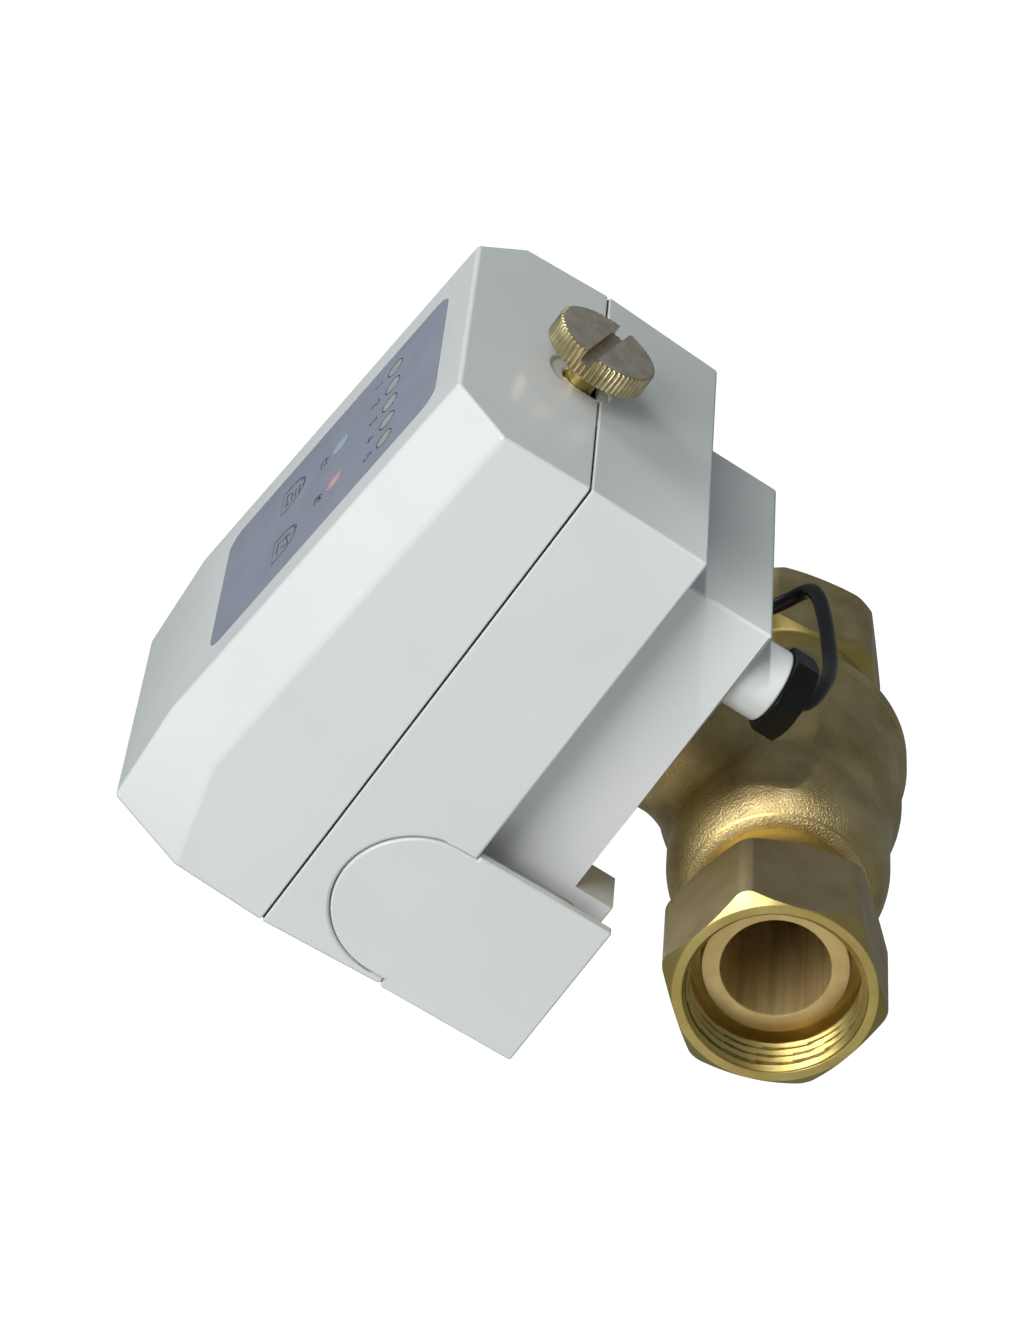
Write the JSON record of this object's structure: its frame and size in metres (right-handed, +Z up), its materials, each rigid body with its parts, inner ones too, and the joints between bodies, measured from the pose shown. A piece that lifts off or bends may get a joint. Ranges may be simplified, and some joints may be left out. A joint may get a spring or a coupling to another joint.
{
  "type": "motorised ball valve",
  "caption": "Motor-driven brass ball valve for a water pipe, with a union nut, a gear case and a hinged control housing held by a thumbscrew.",
  "frame": {"origin": "centre of the ball, where the pipe axis meets the stem axis", "axes": "+X along the pipe from the union nut towards the fixed hexagon end, +Y across the pipe from the thumbscrew towards the cover's hinge, +Z up the stem"},
  "size_m": [0.125, 0.1179, 0.1343],
  "materials": {
    "white_abs": "satin moulded ABS",
    "cast_brass": "sand-cast, as cast",
    "turned_brass": "turned",
    "plated_brass": "hard chromed",
    "ptfe": "turned PTFE",
    "black_rubber": "moulded",
    "acetal": "moulded acetal",
    "steel": "zinc plated",
    "black_plastic": "moulded nylon",
    "panel_grey": "printed polyester film",
    "clear_window": "frosted acrylic",
    "blue_window": "tinted acrylic",
    "red_window": "tinted acrylic",
    "board_green": "solder-resist laminate",
    "cell_jacket": "shrink sleeve"
  },
  "bodies": {
    "valve": {"valve_body": "cast_brass", "end_cap": "cast_brass", "tailpiece": "turned_brass", "seat_rings": "ptfe", "body_o_ring": "black_rubber", "neck_lock_nut": "turned_brass", "gear_case": "white_abs", "wheel_axle": "steel", "motor": "steel", "motor_screws": "steel", "gear_plate": "steel", "plate_screws": "steel", "limit_switches": "black_plastic", "base_shell": "white_abs", "case_screws": "steel", "cover_seal": "black_rubber", "hinge_pin": "steel", "battery_tray": "black_plastic", "tray_screws": "steel", "battery_cells": "cell_jacket", "battery_contacts": "steel", "thumbscrew_insert": "turned_brass", "side_bracket": "white_abs", "cable_gland_nut": "black_plastic", "gland_seal": "black_rubber", "lead_grommet": "black_rubber", "sensor_lead": "black_rubber"},
    "union": {"union_nut": "turned_brass"},
    "ball_drive": {"ball": "plated_brass", "stem": "turned_brass", "stem_o_rings": "black_rubber", "drive_coupling": "steel", "output_gear": "acetal", "limit_cam": "acetal"},
    "wheel": {"reduction_wheel": "acetal"},
    "pinion": {"motor_pinion": "turned_brass"},
    "cover": {"cover_shell": "white_abs", "panel_film": "panel_grey", "zone_windows": "clear_window", "open_window": "blue_window", "shut_window": "red_window", "control_board": "board_green", "indicator_leds": "clear_window", "key_switches": "black_plastic", "board_screws": "steel"},
    "open_key_pad": {"open_key": "panel_grey"},
    "shut_key_pad": {"shut_key": "panel_grey"},
    "thumbscrew_carrier": {"thumbscrew_washer": "turned_brass"},
    "thumbscrew_spin": {"thumbscrew": "turned_brass"}
  },
  "joints": [
    {"name": "valve_turn", "type": "hinge", "parent": "valve", "child": "ball_drive", "pos_m": [0, 0, 0], "axis": [0, 0, -1], "range_deg": [0, 90]},
    {"name": "wheel_turn", "type": "hinge", "parent": "valve", "child": "wheel", "pos_m": [0, 0.026, 0], "axis": [0, 0, -1], "range_deg": [-301, 0]},
    {"name": "motor_turn", "type": "hinge", "parent": "valve", "child": "pinion", "pos_m": [-0.01905, 0.037, 0], "axis": [0, 0, -1], "range_deg": [0, 801]},
    {"name": "nut_spin", "type": "hinge", "parent": "valve", "child": "union", "pos_m": [0, 0, 0], "axis": [1, 0, 0], "continuous": true},
    {"name": "cover_tilt", "type": "hinge", "parent": "valve", "child": "cover", "pos_m": [0, 0.0536, 0.0762], "axis": [-1, 0, 0], "range_deg": [0, 75]},
    {"name": "thumbscrew_travel", "type": "slide", "parent": "valve", "child": "thumbscrew_carrier", "axis": [0, -1, 0], "range_m": [-0.002, 0.004]},
    {"name": "thumbscrew_turn", "type": "hinge", "parent": "thumbscrew_carrier", "child": "thumbscrew_spin", "pos_m": [0, 0, 0.0802], "axis": [0, -1, 0], "range_deg": [-720, 1440]},
    {"name": "open_key_press", "type": "slide", "parent": "cover", "child": "open_key_pad", "axis": [0, 0.0783, -0.9969], "range_m": [0, 0.0005], "stiffness_N_per_m": 1200},
    {"name": "shut_key_press", "type": "slide", "parent": "cover", "child": "shut_key_pad", "axis": [0, 0.0783, -0.9969], "range_m": [0, 0.0005], "stiffness_N_per_m": 1200}
  ],
  "couplings": [
    {"joint": "wheel_turn", "follows": "valve_turn", "ratio": -3.3333},
    {"joint": "motor_turn", "follows": "valve_turn", "ratio": 8.8889},
    {"joint": "thumbscrew_travel", "follows": "thumbscrew_turn", "m_per_rad": 0.00015915}
  ]
}
